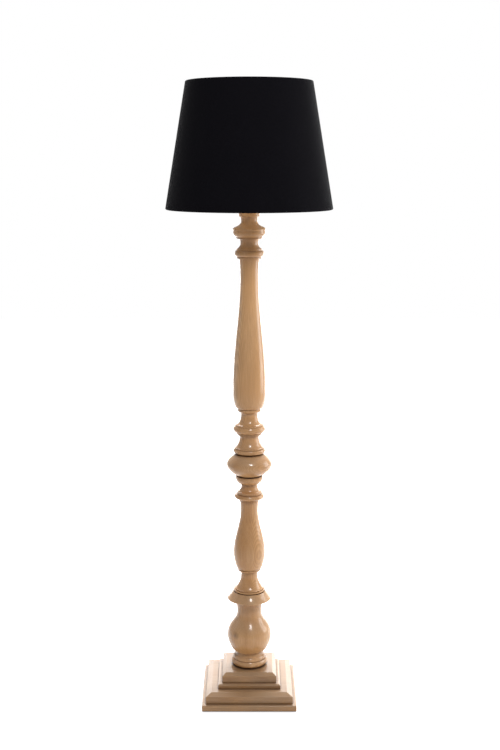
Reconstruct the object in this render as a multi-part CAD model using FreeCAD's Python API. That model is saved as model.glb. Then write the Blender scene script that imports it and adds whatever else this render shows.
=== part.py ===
import FreeCAD, Part
import math
import os

# Candlestick floor lamp: a stack of turned wooden members on a stepped square base, with a drum
# shade that narrows upwards. A threaded tube runs up the middle and clamps the stack together.
# Millimetres. +Z is up, the origin is on the floor under the middle of the base, -Y is the front.

# Fits, all round or face to face
slip_fit = 0.2
thread_fit = 0.05
moving_fit = 0.3
weld_gap = 0.1

# Base, measured across the flats
felt_thickness = 1.5
felt_inset = 6.0
slab_width = 240.0
slab_thickness = 16.5
slab_edge_round = 3.0
lower_step_width = 220.0
lower_step_face = 19.0
lower_step_bevel_rise = 6.8
lower_step_bevel_run = 14.0
middle_step_width = 159.0
middle_step_face = 9.8
middle_step_bevel_rise = 2.4
middle_step_bevel_run = 4.5
upper_step_width = 138.0
upper_step_face = 18.3
upper_step_bevel_rise = 6.2
upper_step_bevel_run = 9.5
arris_round = 0.8

# Weight in the base
ballast_radius = 80.0
ballast_hole_radius = 28.0
ballast_thickness = 14.0
ballast_screw_circle = 60.0
ballast_screw_radius = 2.5
ballast_screw_head_radius = 4.5
ballast_screw_head = 3.0
ballast_screw_bite = 6.0
ballast_screw_count = 3

# Screws from the slab up into the lower step
base_screw_inset = 28.0
base_screw_radius = 2.0
base_screw_head_radius = 4.0
base_screw_bite = 17.0

# Tube, its nuts and its washers
tube_radius = 5.0
tube_bore_radius = 3.8
wood_bore_radius = 5.5
tube_stub = 2.5
nut_across_flats = 14.0
nut_height = 4.0
tube_washer_radius = 20.0
tube_washer_thickness = 2.5
column_washer_radius = 16.0
column_washer_thickness = 1.5
coupler_radius = 7.0
coupler_length = 24.0
tube_gap = 1.0

# Tenons under the turned pieces
tenon_radius = 14.0
tenon_length = 8.0

# Pear turning, from its foot up
pear_gap_radius = 38.0
pear_gap_height = 3.0
pear_foot_radius = 43.2
pear_foot_height = 14.5
pear_foot_bulge = 3.3
pear_groove_radius = 41.3
pear_groove_height = 2.0
pear_bead_radius = 41.6
pear_bead_top_radius = 36.0
pear_bead_height = 9.0
pear_bead_bulge = 1.6
pear_crease_radius = 33.5
pear_crease_height = 8.5
pear_belly_radius = 56.3
pear_belly_height = 43.5
pear_neck_radius = 31.2
pear_neck_height = 64.0
pear_shoulder_share = 0.52
pear_neck_share = 0.42
pear_flare_radius = 35.0
pear_flare_height = 32.7
pear_flare_hollow = 0.7
pear_rim_radius = 56.0
pear_rim_underside = 3.8
pear_top_radius = 41.0
pear_rim_top = 19.5
pear_rim_top_bulge = -1.2

# Lower baluster, from its foot up
baluster_gap_radius = 33.0
joint_gap_height = 2.0
baluster_foot_radius = 39.6
baluster_foot_height = 3.6
baluster_foot_bulge = 0.6
baluster_fillet_radius = 36.8
baluster_fillet_height = 2.4
baluster_waist_radius = 21.4
baluster_cove_height = 31.0
baluster_waist_flare_radius = 21.9
baluster_waist_flare_height = 13.0
baluster_quirk_radius = 24.4
baluster_quirk_height = 3.1
baluster_ring_radius = 28.2
baluster_ring_height = 5.9
baluster_ring_bulge = 1.6
baluster_belly_foot_radius = 29.8
baluster_belly_radius = 40.4
baluster_belly_height = 43.0
baluster_neck_radius = 22.2
baluster_neck_height = 112.0
baluster_neck_flare_radius = 23.8
baluster_neck_flare_height = 22.5
baluster_collar_radius = 24.4
baluster_collar_height = 9.0
baluster_torus_foot_radius = 28.8
baluster_torus_radius = 34.6
baluster_torus_height = 11.5
baluster_torus_bulge = 5.6
baluster_upper_fillet_radius = 31.0
baluster_upper_fillet_height = 7.3
baluster_throat_radius = 20.4
baluster_throat_height = 14.0
baluster_throat_length = 4.9
baluster_bowl_quirk_radius = 23.5
baluster_bowl_quirk_height = 1.5
baluster_bowl_radius = 34.4
baluster_bowl_height = 20.3
baluster_bowl_bulge = 4.2

# Ball
ball_gap_radius = 28.0
ball_radius = 57.0
ball_end_radius = 31.5
ball_height = 57.0
ball_fullness = 0.75

# Upper column, from its foot up
column_gap_radius = 27.5
column_foot_radius = 38.4
column_foot_height = 10.0
column_foot_bulge = 2.0
column_foot_fillet_radius = 36.4
column_foot_fillet_height = 3.5
column_ankle_radius = 23.9
column_ankle_height = 23.5
column_ankle_flare_radius = 24.8
column_ankle_flare_height = 7.0
column_quirk_radius = 27.2
column_quirk_height = 3.5
column_ring_foot_radius = 31.4
column_ring_foot_height = 4.5
column_ring_radius = 36.0
column_ring_height = 16.5
column_ring_bulge = 6.4
column_ring_fillet_radius = 35.2
column_ring_fillet_height = 3.9
column_waist_radius = 20.8
column_waist_height = 22.6
column_waist_flare_radius = 27.0
column_waist_flare_height = 11.6
column_belly_quirk_radius = 28.8
column_belly_quirk_height = 7.9
column_belly_foot_radius = 30.6
column_belly_radius = 40.6
column_belly_height = 42.5
column_belly_length = 12.0
column_neck_radius = 22.1
column_taper_height = 277.0
column_neck_flare_radius = 26.2
column_neck_flare_height = 42.2
column_collar_radius = 30.4
column_collar_height = 5.3
column_torus_radius = 32.8
column_torus_height = 14.5
column_torus_bulge = 3.7
column_torus_fillet_radius = 32.0
column_torus_fillet_height = 3.3
column_throat_radius = 22.2
column_throat_height = 11.7
column_throat_flare_radius = 26.0
column_throat_flare_height = 13.0
column_bowl_quirk_radius = 30.0
column_bowl_quirk_height = 2.0
column_bowl_foot_radius = 32.6
column_bowl_foot_height = 2.5
column_bowl_radius = 39.8
column_bowl_height = 15.0
column_bowl_bulge = 3.4
column_arris_radius = 40.5
column_arris_height = 3.5
column_cap_neck_radius = 20.4
column_cap_height = 19.5
column_arris_share = 0.35
column_cap_neck_share = 0.7
column_cap_flare_radius = 23.5
column_cap_flare_height = 11.5
column_flange_radius = 26.0
column_flange_height = 11.0

# Lampholder for an E27 bulb, with a push-through switch bar
holder_radius = 20.0
holder_wall = 1.2
cap_boss_radius = 8.0
cap_boss_height = 6.0
cap_dome_height = 9.0
cap_skirt_height = 10.0
grub_screw_radius = 1.5
switch_block_height = 14.0
switch_bar_radius = 2.5
switch_bar_reach = 9.0
switch_travel = 6.0
terminal_screw_radius = 1.5
terminal_screw_head_radius = 2.5
terminal_screw_head = 2.5
terminal_screw_spread = 9.0
terminal_screw_bite = 5.0
core_floor = 4.0
shell_height = 40.0
shell_lip_radius = 16.5
contact_thickness = 0.6
contact_width = 8.0
contact_rise = 2.5
contact_foot_share = 0.6
collar_radius = 27.5
collar_seat = 4.0
lower_collar_height = 5.0
upper_collar_height = 8.0
collar_edge_round = 1.0

# Bulb
bulb_radius = 30.0
bulb_length = 106.0
bulb_cap_radius = 13.2
bulb_cap_height = 25.0
bulb_tip_height = 5.0
bulb_tip_radius = 4.5
bulb_tuck = 3.0
bulb_wall = 1.2
bulb_neck_share = 0.3
bulb_globe_share = 0.5

# Shade
shade_bottom_radius = 203.2
shade_top_radius = 152.8
shade_height = 302.4
shade_drop = 35.0
ring_wire_radius = 1.5
lining_thickness = 0.5
cover_thickness = 0.8
laminate_gap = 0.05
hem_depth = 6.0
fitter_ring_radius = 30.0
fitter_bore_radius = 21.0
fitter_thickness = 2.0
arm_radius = 2.0
arm_set_down = 1.5
arm_level_run = 30.0
arm_bend_radius = 60.0
arm_count = 3
arm_first_angle = 90.0

# Wiring inside
gland_flange_radius = 5.0
gland_flange_thickness = 1.5
gland_radius = 4.0
gland_bore_radius = 3.0
gland_length = 22.0
terminal_block_width = 18.0
terminal_block_depth = 20.0
terminal_block_height = 12.0
terminal_block_distance = 52.0
terminal_block_bore_radius = 1.8
terminal_block_bore_spread = 5.0
block_screw_radius = 1.5
block_screw_head_radius = 2.8
block_screw_head = 2.0
block_screw_bite = 8.0
lead_radius = 2.5

quarter_handle = 4.0 / 3.0 * (math.sqrt(2.0) - 1.0)
shallow_handle = 0.35
belly_handle = 0.42
s_curve_handle = 0.36
upright = FreeCAD.Vector(0, 0, 1)
middle = FreeCAD.Vector(0, 0, 0)


class Outline:
    # Half section of a round piece, drawn in order: radius out along X, height up along Z.

    def __init__(self, radius, height):
        self.r = radius
        self.z = height
        self.edges = []

    def line(self, radius, height):
        end = FreeCAD.Vector(radius, 0, height)
        start = FreeCAD.Vector(self.r, 0, self.z)
        if start.distanceToPoint(end) > 1e-6:
            self.edges.append(Part.makeLine(start, end))
        self.r, self.z = radius, height

    def step(self, radius):
        self.line(radius, self.z)

    def band(self, height):
        self.line(self.r, self.z + height)

    def slope(self, radius, height):
        self.line(radius, self.z + height)

    def arc(self, radius, height, bulge):
        # The middle of the arc stands out from the middle of its chord by the bulge.
        start = FreeCAD.Vector(self.r, 0, self.z)
        end = FreeCAD.Vector(radius, 0, self.z + height)
        chord = end - start
        square = FreeCAD.Vector(chord.z, 0, -chord.x).normalize()
        crown = start + chord * 0.5 + square * bulge
        self.edges.append(Part.Arc(start, crown, end).toShape())
        self.r, self.z = radius, self.z + height

    def cubic(self, first, second, radius, height):
        poles = [FreeCAD.Vector(self.r, 0, self.z), first, second]
        poles.append(FreeCAD.Vector(radius, 0, self.z + height))
        curve = Part.BezierCurve()
        curve.setPoles(poles)
        self.edges.append(curve.toShape())
        self.r, self.z = radius, self.z + height

    def level_to_upright(self, radius, height, handle=quarter_handle):
        # Quarter of an ellipse: a cove going in, or the underside of a belly going out.
        # A shorter handle flattens it towards its chord.
        run = (radius - self.r) * handle
        top = self.z + height
        first = FreeCAD.Vector(self.r + run, 0, self.z)
        second = FreeCAD.Vector(radius, 0, top - height * handle)
        self.cubic(first, second, radius, height)

    def upright_to_level(self, radius, height):
        # The same quarter the other way up.
        run = (radius - self.r) * quarter_handle
        top = self.z + height
        first = FreeCAD.Vector(self.r, 0, self.z + height * quarter_handle)
        second = FreeCAD.Vector(radius - run, 0, top)
        self.cubic(first, second, radius, height)

    def s_curve(self, radius, height, lower=s_curve_handle, upper=s_curve_handle):
        # Upright at both ends; each share says how far that end's straightness reaches.
        first = FreeCAD.Vector(self.r, 0, self.z + height * lower)
        second = FreeCAD.Vector(radius, 0, self.z + height * (1.0 - upper))
        self.cubic(first, second, radius, height)

    def oval(self, radius, height, fullness):
        # Swell out to the radius at half the height and back again. At a fullness of 1 it is an
        # ellipse, and less makes its shoulders straighter.
        start = self.r
        half = height / 2.0
        centre = self.z + half
        semi = half / math.sqrt(1.0 - (start / radius) ** 2)
        reach = math.asin(half / semi)
        handle = 4.0 / 3.0 * math.tan(reach / 4.0)
        shoulder = start + fullness * handle * radius * math.sin(reach)
        lift = half - fullness * handle * semi * math.cos(reach)
        crown = handle * semi
        self.cubic(at(shoulder, 0, centre - lift), at(radius, 0, centre - crown), radius, half)
        self.cubic(at(radius, 0, centre + crown), at(shoulder, 0, centre + lift), start, half)

    def revolve(self):
        self.line(self.edges[0].Vertexes[0].Point.x, self.edges[0].Vertexes[0].Point.z)
        face = Part.Face(Part.Wire(self.edges))
        return solid_of(face.revolve(middle, upright, 360))


def solid_of(shape):
    solid = shape.Solids[0]
    if solid.Volume < 0:
        solid.reverse()
    return solid


def at(x, y, z):
    return FreeCAD.Vector(x, y, z)


def around(radius, degrees, z):
    angle = math.radians(degrees)
    return at(radius * math.cos(angle), radius * math.sin(angle), z)


def rod(radius, bottom, height, place=middle, direction=upright):
    return Part.makeCylinder(radius, height, place + direction * bottom, direction)


def tube(outer, inner, bottom, height):
    outline = Outline(inner, bottom)
    outline.step(outer)
    outline.band(height)
    outline.step(inner)
    return outline.revolve()


def hex_nut(bottom):
    corner = nut_across_flats / math.sqrt(3.0)
    points = [around(corner, 60.0 * i, bottom) for i in range(7)]
    prism = Part.Face(Part.makePolygon(points)).extrude(upright * nut_height)
    return solid_of(prism.cut(rod(tube_radius + thread_fit, bottom, nut_height)))


def square(width, z):
    half = width / 2.0
    corners = [at(-half, -half, z), at(half, -half, z), at(half, half, z), at(-half, half, z)]
    return Part.makePolygon(corners + corners[:1])


def is_circle(edge):
    return edge.Curve.TypeId == "Part::GeomCircle"


def eased(shape, radius, keep):
    edges = [edge for edge in shape.Edges if keep(edge)]
    return shape.makeFillet(radius, edges)


def base_step(width, face, bevel_run, bevel_rise, bottom):
    top_width = width - 2.0 * bevel_run
    shoulder = bottom + face
    top = shoulder + bevel_rise
    sections = [square(width, bottom), square(width, shoulder), square(top_width, top)]
    block = Part.makeLoft(sections, True, True)
    return eased(block, arris_round, lambda edge: edge.BoundBox.ZMax > bottom + arris_round)


# Heights of the base, from the floor up
slab_bottom = felt_thickness
slab_top = slab_bottom + slab_thickness
lower_step_top = slab_top + lower_step_face + lower_step_bevel_rise
middle_step_top = lower_step_top + middle_step_face + middle_step_bevel_rise
base_top = middle_step_top + upper_step_face + upper_step_bevel_rise
ballast_top = slab_top + ballast_thickness
ballast_pocket_radius = ballast_radius + slip_fit
tube_washer_bottom = ballast_top - tube_washer_thickness
tube_nut_bottom = tube_washer_bottom - nut_height
tube_bottom = tube_nut_bottom - tube_stub
gland_height = slab_bottom + slab_thickness / 2.0


def base_felt():
    width = slab_width - 2.0 * felt_inset
    sheet = Part.Face(square(width, 0.0)).extrude(upright * felt_thickness)
    return solid_of(eased(sheet, felt_inset, lambda edge: edge.BoundBox.ZLength > felt_thickness / 2.0))


def base_screw_places():
    offset = slab_width / 2.0 - base_screw_inset
    return [at(x, y, 0.0) for x in (-offset, offset) for y in (-offset, offset)]


def base_screw(place, fit=0.0):
    outline = Outline(0.0, slab_bottom)
    outline.step(base_screw_head_radius + fit)
    outline.slope(base_screw_radius + fit, base_screw_head_radius - base_screw_radius)
    outline.line(base_screw_radius + fit, slab_top + base_screw_bite + fit)
    outline.step(0.0)
    return outline.revolve().translated(place)


def ballast_screw_places():
    step = 360.0 / ballast_screw_count
    return [around(ballast_screw_circle, -90.0 + step * i, 0.0) for i in range(ballast_screw_count)]


def ballast_screw(place, fit=0.0):
    outline = Outline(0.0, slab_top - ballast_screw_head)
    outline.step(ballast_screw_head_radius)
    outline.band(ballast_screw_head)
    outline.step(ballast_screw_radius + fit)
    outline.line(ballast_screw_radius + fit, ballast_top + ballast_screw_bite + fit)
    outline.step(0.0)
    return outline.revolve().translated(place)


def base_slab():
    slab = Part.Face(square(slab_width, slab_bottom)).extrude(upright * slab_thickness)
    slab = slab.makeFillet(slab_edge_round, slab.Edges)
    slab = slab.cut(rod(ballast_pocket_radius, slab_bottom, slab_thickness))
    slab = slab.cut(gland_hole(slip_fit))
    for place in base_screw_places():
        slab = slab.cut(base_screw(place, slip_fit))
    return solid_of(slab)


def lower_step():
    block = base_step(lower_step_width, lower_step_face, lower_step_bevel_run,
                      lower_step_bevel_rise, slab_top)
    block = block.cut(rod(ballast_pocket_radius, slab_top, ballast_thickness))
    block = block.cut(rod(wood_bore_radius, slab_top, lower_step_top))
    for place in base_screw_places():
        block = block.cut(base_screw(place, slip_fit))
    for place in ballast_screw_places():
        block = block.cut(ballast_screw(place, slip_fit))
    return solid_of(block)


def middle_step():
    block = base_step(middle_step_width, middle_step_face, middle_step_bevel_run,
                      middle_step_bevel_rise, lower_step_top)
    return solid_of(block.cut(rod(wood_bore_radius, lower_step_top, middle_step_top)))


def upper_step():
    block = base_step(upper_step_width, upper_step_face, upper_step_bevel_run,
                      upper_step_bevel_rise, middle_step_top)
    socket_bottom = base_top - tenon_length - slip_fit
    block = block.cut(rod(wood_bore_radius, middle_step_top, base_top))
    return solid_of(block.cut(rod(tenon_radius + slip_fit, socket_bottom, base_top)))


def ballast_ring():
    ring = tube(ballast_radius, ballast_hole_radius, slab_top, ballast_thickness)
    for place in ballast_screw_places():
        ring = ring.cut(ballast_screw(place, slip_fit))
    return solid_of(ring.cut(block_screw(slip_fit)))


def washer(radius, bottom, thickness):
    return tube(radius, tube_radius + slip_fit, bottom, thickness)


# Wiring in the base
block_bottom = slab_top - terminal_block_height
lead_height = block_bottom + terminal_block_height / 2.0
lead_bend = min(tube_bottom - lead_height, terminal_block_distance / 2.0)


def gland_hole(fit):
    back = at(0.0, slab_width / 2.0, gland_height)
    inward = at(0.0, -1.0, 0.0)
    return rod(gland_radius + fit, 0.0, slab_width / 2.0 - ballast_radius / 2.0, back, inward)


def cord_gland():
    outline = Outline(gland_bore_radius, -gland_flange_thickness)
    outline.step(gland_flange_radius)
    outline.band(gland_flange_thickness)
    outline.step(gland_radius)
    outline.line(gland_radius, gland_length)
    outline.step(gland_bore_radius)
    bush = outline.revolve()
    bush.rotate(middle, at(1.0, 0.0, 0.0), 90.0)
    return bush.translated(at(0.0, slab_width / 2.0, gland_height))


def block_screw(fit=0.0):
    outline = Outline(0.0, block_bottom - block_screw_head)
    outline.step(block_screw_head_radius)
    outline.band(block_screw_head)
    outline.step(block_screw_radius + fit)
    outline.line(block_screw_radius + fit, slab_top + block_screw_bite + fit)
    outline.step(0.0)
    return outline.revolve().translated(at(0.0, terminal_block_distance, 0.0))


def terminal_block():
    front = terminal_block_distance - terminal_block_depth / 2.0
    corner = at(-terminal_block_width / 2.0, front, block_bottom)
    block = Part.makeBox(terminal_block_width, terminal_block_depth, terminal_block_height, corner)
    for side in (-1.0, 1.0):
        mouth = at(side * terminal_block_bore_spread, front, lead_height)
        block = block.cut(rod(terminal_block_bore_radius, 0.0, terminal_block_depth, mouth,
                              at(0.0, 1.0, 0.0)))
    return solid_of(block.cut(block_screw(slip_fit)))


def inner_lead():
    # From the terminal block along the cavity, round one bend and up the tube to the switch.
    start = at(0.0, terminal_block_distance - terminal_block_depth / 2.0, lead_height)
    bend_start = at(0.0, lead_bend, lead_height)
    bend_end = at(0.0, 0.0, lead_height + lead_bend)
    inset = lead_bend * (1.0 - math.sqrt(0.5))
    bend_middle = at(0.0, inset, lead_height + inset)
    end = at(0.0, 0.0, switch_block_bottom)
    path = Part.Wire([
        Part.makeLine(start, bend_start),
        Part.Arc(bend_start, bend_middle, bend_end).toShape(),
        Part.makeLine(bend_end, end),
    ])
    section = Part.Wire([Part.makeCircle(lead_radius, start, at(0.0, -1.0, 0.0))])
    lead = solid_of(path.makePipeShell([section], True, False))
    print("inner lead: volume over section times length",
          round(lead.Volume / (math.pi * lead_radius ** 2 * path.Length), 5))
    return lead


# Turned pieces. Each begins with the tenon that enters the piece below.
def turned_foot(bottom, bore=wood_bore_radius):
    outline = Outline(bore, bottom - tenon_length)
    outline.step(tenon_radius)
    outline.band(tenon_length)
    return outline


def close_turning(outline, socket=True):
    top = outline.z
    if socket:
        outline.step(tenon_radius + slip_fit)
        outline.band(-tenon_length - slip_fit)
    outline.step(wood_bore_radius)
    return outline.revolve(), top


def pear_turning():
    outline = turned_foot(base_top)
    outline.step(pear_gap_radius)
    outline.band(pear_gap_height)
    outline.step(pear_foot_radius)
    outline.arc(pear_foot_radius, pear_foot_height, pear_foot_bulge)
    outline.step(pear_groove_radius)
    outline.band(pear_groove_height)
    outline.step(pear_bead_radius)
    outline.arc(pear_bead_top_radius, pear_bead_height, pear_bead_bulge)
    outline.slope(pear_crease_radius, pear_crease_height)
    outline.level_to_upright(pear_belly_radius, pear_belly_height, belly_handle)
    outline.s_curve(pear_neck_radius, pear_neck_height, pear_shoulder_share, pear_neck_share)
    outline.arc(pear_flare_radius, pear_flare_height, -pear_flare_hollow)
    outline.level_to_upright(pear_rim_radius, pear_rim_underside)
    outline.arc(pear_top_radius, pear_rim_top, pear_rim_top_bulge)
    return close_turning(outline)


def lower_baluster():
    outline = turned_foot(pear_top)
    outline.step(baluster_gap_radius)
    outline.band(joint_gap_height)
    outline.step(baluster_foot_radius)
    outline.arc(baluster_foot_radius, baluster_foot_height, baluster_foot_bulge)
    outline.step(baluster_fillet_radius)
    outline.band(baluster_fillet_height)
    outline.level_to_upright(baluster_waist_radius, baluster_cove_height, shallow_handle)
    outline.upright_to_level(baluster_waist_flare_radius, baluster_waist_flare_height)
    outline.step(baluster_quirk_radius)
    outline.band(baluster_quirk_height)
    outline.step(baluster_ring_radius)
    outline.arc(baluster_ring_radius, baluster_ring_height, baluster_ring_bulge)
    outline.step(baluster_belly_foot_radius)
    outline.level_to_upright(baluster_belly_radius, baluster_belly_height, shallow_handle)
    outline.s_curve(baluster_neck_radius, baluster_neck_height)
    outline.upright_to_level(baluster_neck_flare_radius, baluster_neck_flare_height)
    outline.step(baluster_collar_radius)
    outline.band(baluster_collar_height)
    outline.step(baluster_torus_foot_radius)
    outline.arc(baluster_torus_radius, baluster_torus_height, baluster_torus_bulge)
    outline.step(baluster_upper_fillet_radius)
    outline.band(baluster_upper_fillet_height)
    outline.level_to_upright(baluster_throat_radius, baluster_throat_height)
    outline.band(baluster_throat_length)
    outline.step(baluster_bowl_quirk_radius)
    outline.band(baluster_bowl_quirk_height)
    outline.arc(baluster_bowl_radius, baluster_bowl_height, baluster_bowl_bulge)
    return close_turning(outline)


def ball_turning():
    # The coupler of the two tubes sits in a wider bore that opens at the foot.
    coupler_bore = coupler_radius + slip_fit
    outline = turned_foot(baluster_top, coupler_bore)
    outline.step(ball_gap_radius)
    outline.band(joint_gap_height)
    outline.step(ball_end_radius)
    outline.oval(ball_radius, ball_height, ball_fullness)
    top = outline.z
    outline.step(tenon_radius + slip_fit)
    outline.band(-tenon_length - slip_fit)
    outline.step(wood_bore_radius)
    outline.line(wood_bore_radius, coupler_top + slip_fit)
    outline.step(coupler_bore)
    return outline.revolve(), top


def upper_column():
    outline = turned_foot(ball_top)
    outline.step(column_gap_radius)
    outline.band(joint_gap_height)
    outline.step(column_foot_radius)
    outline.arc(column_foot_radius, column_foot_height, column_foot_bulge)
    outline.step(column_foot_fillet_radius)
    outline.band(column_foot_fillet_height)
    outline.level_to_upright(column_ankle_radius, column_ankle_height, shallow_handle)
    outline.upright_to_level(column_ankle_flare_radius, column_ankle_flare_height)
    outline.step(column_quirk_radius)
    outline.band(column_quirk_height)
    outline.step(column_ring_foot_radius)
    outline.band(column_ring_foot_height)
    outline.arc(column_ring_radius, column_ring_height, column_ring_bulge)
    outline.step(column_ring_fillet_radius)
    outline.band(column_ring_fillet_height)
    outline.level_to_upright(column_waist_radius, column_waist_height)
    outline.upright_to_level(column_waist_flare_radius, column_waist_flare_height)
    outline.step(column_belly_quirk_radius)
    outline.band(column_belly_quirk_height)
    outline.step(column_belly_foot_radius)
    outline.level_to_upright(column_belly_radius, column_belly_height)
    outline.band(column_belly_length)
    outline.s_curve(column_neck_radius, column_taper_height)
    outline.upright_to_level(column_neck_flare_radius, column_neck_flare_height)
    outline.step(column_collar_radius)
    outline.band(column_collar_height)
    outline.step(column_torus_radius)
    outline.arc(column_torus_radius, column_torus_height, column_torus_bulge)
    outline.step(column_torus_fillet_radius)
    outline.band(column_torus_fillet_height)
    outline.level_to_upright(column_throat_radius, column_throat_height, shallow_handle)
    outline.upright_to_level(column_throat_flare_radius, column_throat_flare_height)
    outline.step(column_bowl_quirk_radius)
    outline.band(column_bowl_quirk_height)
    outline.step(column_bowl_foot_radius)
    outline.band(column_bowl_foot_height)
    outline.arc(column_bowl_radius, column_bowl_height, column_bowl_bulge)
    outline.slope(column_arris_radius, column_arris_height)
    outline.s_curve(column_cap_neck_radius, column_cap_height, column_arris_share, column_cap_neck_share)
    outline.upright_to_level(column_cap_flare_radius, column_cap_flare_height)
    outline.step(column_flange_radius)
    outline.band(column_flange_height)
    return close_turning(outline, socket=False)


pear, pear_top = pear_turning()
baluster, baluster_top = lower_baluster()
coupler_middle = baluster_top + joint_gap_height + ball_height / 2.0
coupler_bottom = coupler_middle - coupler_length / 2.0
coupler_top = coupler_middle + coupler_length / 2.0
ball, ball_top = ball_turning()
column, column_top = upper_column()


# Lampholder, from the column up
check_nut_bottom = column_top + column_washer_thickness
cap_bottom = check_nut_bottom + nut_height
boss_top = cap_bottom + cap_boss_height
cap_ceiling = boss_top + holder_wall
tube_top = cap_ceiling + holder_wall
cap_skirt_bottom = boss_top + cap_dome_height
cap_top = cap_skirt_bottom + cap_skirt_height
cap_bore = holder_radius - holder_wall
switch_height = cap_skirt_bottom + cap_skirt_height / 2.0
switch_block_bottom = cap_skirt_bottom
switch_block_top = switch_block_bottom + switch_block_height
core_radius = cap_bore - slip_fit
core_bore = bulb_cap_radius + moving_fit
core_floor_top = switch_block_top + core_floor
shell_top = cap_top + shell_height
core_top = shell_top - holder_wall
lower_collar_bottom = cap_top + collar_seat
fitter_bottom = lower_collar_bottom + lower_collar_height
fitter_middle = fitter_bottom + fitter_thickness / 2.0
fitter_top = fitter_bottom + fitter_thickness
upper_collar_bottom = fitter_top + moving_fit
collar_bore = holder_radius + thread_fit
bulb_bottom = core_floor_top + contact_thickness + contact_rise


def lower_tube():
    return tube(tube_radius, tube_bore_radius, tube_bottom, coupler_middle - tube_gap / 2.0 - tube_bottom)


def upper_tube():
    bottom = coupler_middle + tube_gap / 2.0
    return tube(tube_radius, tube_bore_radius, bottom, tube_top - bottom)


def tube_coupler():
    return tube(coupler_radius, tube_radius + thread_fit, coupler_bottom, coupler_length)


def switch_bar_bore(fit):
    reach = holder_radius + switch_travel + switch_bar_reach
    start = at(-reach, 0.0, switch_height)
    return rod(switch_bar_radius + fit, 0.0, 2.0 * reach, start, at(1.0, 0.0, 0.0))


def grub_screw():
    start = at(0.0, tube_radius + thread_fit, cap_bottom + cap_boss_height / 2.0)
    length = cap_boss_radius - tube_radius - thread_fit
    return rod(grub_screw_radius, 0.0, length, start, at(0.0, 1.0, 0.0))


def grub_screw_hole():
    start = at(0.0, 0.0, cap_bottom + cap_boss_height / 2.0)
    return rod(grub_screw_radius + thread_fit, 0.0, cap_boss_radius, start, at(0.0, 1.0, 0.0))


def holder_cap():
    outline = Outline(tube_radius + thread_fit, cap_bottom)
    outline.step(cap_boss_radius)
    outline.band(cap_boss_height)
    outline.level_to_upright(holder_radius, cap_dome_height)
    outline.band(cap_skirt_height)
    outline.step(cap_bore)
    outline.band(-cap_skirt_height)
    outline.upright_to_level(cap_boss_radius, cap_ceiling - cap_skirt_bottom)
    outline.step(tube_radius + thread_fit)
    cap = outline.revolve().cut(switch_bar_bore(moving_fit))
    return solid_of(cap.cut(grub_screw_hole()))


def terminal_screw(side, fit=0.0):
    outline = Outline(0.0, switch_block_bottom - terminal_screw_head)
    outline.step(terminal_screw_head_radius)
    outline.band(terminal_screw_head)
    outline.step(terminal_screw_radius + fit)
    outline.line(terminal_screw_radius + fit, switch_block_bottom + terminal_screw_bite + fit)
    outline.step(0.0)
    return outline.revolve().translated(at(0.0, side * terminal_screw_spread, 0.0))


def switch_block():
    block = rod(core_radius, switch_block_bottom, switch_block_height)
    block = block.cut(switch_bar_bore(moving_fit))
    for side in (-1.0, 1.0):
        block = block.cut(terminal_screw(side, slip_fit))
    return solid_of(block)


def switch_bar():
    # Drawn with the lamp off: pushed out at -X, by the travel further than at +X.
    bar_length = 2.0 * (holder_radius + switch_bar_reach)
    start = -bar_length / 2.0 - switch_travel / 2.0
    end_round = switch_bar_radius / 2.0
    bar = rod(switch_bar_radius, start, bar_length, at(0.0, 0.0, switch_height), at(1.0, 0.0, 0.0))
    return solid_of(eased(bar, end_round, is_circle))


def holder_core():
    outline = Outline(0.0, switch_block_top)
    outline.step(core_radius)
    outline.line(core_radius, core_top)
    outline.step(core_bore)
    outline.line(core_bore, core_floor_top)
    outline.step(0.0)
    return outline.revolve()


def centre_contact():
    # A strip on the floor of the core with its middle bent up under the bulb's tip.
    half = core_bore - slip_fit
    foot = half * contact_foot_share
    tongue = bulb_tip_radius
    low = core_floor_top
    high = bulb_bottom - contact_thickness
    lift = at(0.0, 0.0, contact_thickness)
    lower = [at(-half, 0.0, low), at(-foot, 0.0, low), at(-tongue, 0.0, high),
             at(tongue, 0.0, high), at(foot, 0.0, low), at(half, 0.0, low)]
    upper = [point + lift for point in reversed(lower)]
    side = Part.Face(Part.makePolygon(lower + upper + lower[:1]))
    strip = side.extrude(at(0.0, contact_width, 0.0)).translated(at(0.0, -contact_width / 2.0, 0.0))
    return solid_of(strip.common(rod(half, low, high)))


def side_contact():
    # A strip up the wall of the core, let into a shallow slot.
    inner = core_bore
    outer = core_bore + contact_thickness
    height = (core_top - core_floor_top) / 2.0
    bottom = core_floor_top + contact_thickness + contact_rise
    sleeve = tube(outer, inner, bottom, height)
    slot = Part.makeBox(contact_width, outer, height, at(-contact_width / 2.0, 0.0, bottom))
    return solid_of(sleeve.common(slot))


def slotted_core():
    return solid_of(holder_core().cut(side_contact()))


def holder_shell():
    outline = Outline(cap_bore, cap_top)
    outline.step(holder_radius)
    outline.line(holder_radius, shell_top)
    outline.step(shell_lip_radius)
    outline.band(-holder_wall)
    outline.step(cap_bore)
    return outline.revolve()


def is_outer_rim(edge):
    return is_circle(edge) and edge.Curve.Radius > (collar_bore + collar_radius) / 2.0


def shade_collar(bottom, height):
    collar = tube(collar_radius, collar_bore, bottom, height)
    return solid_of(eased(collar, collar_edge_round, is_outer_rim))


# Bulb
bulb_cap_bottom = bulb_bottom + bulb_tip_height
bulb_cap_top = bulb_cap_bottom + bulb_cap_height
bulb_top = bulb_bottom + bulb_length


def bulb_contact():
    outline = Outline(0.0, bulb_bottom)
    outline.step(bulb_tip_radius)
    outline.slope(bulb_cap_radius - bulb_wall, bulb_tip_height)
    outline.step(0.0)
    return outline.revolve()


def bulb_cap():
    return tube(bulb_cap_radius, bulb_cap_radius - bulb_wall / 2.0, bulb_cap_bottom, bulb_cap_height)


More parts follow.
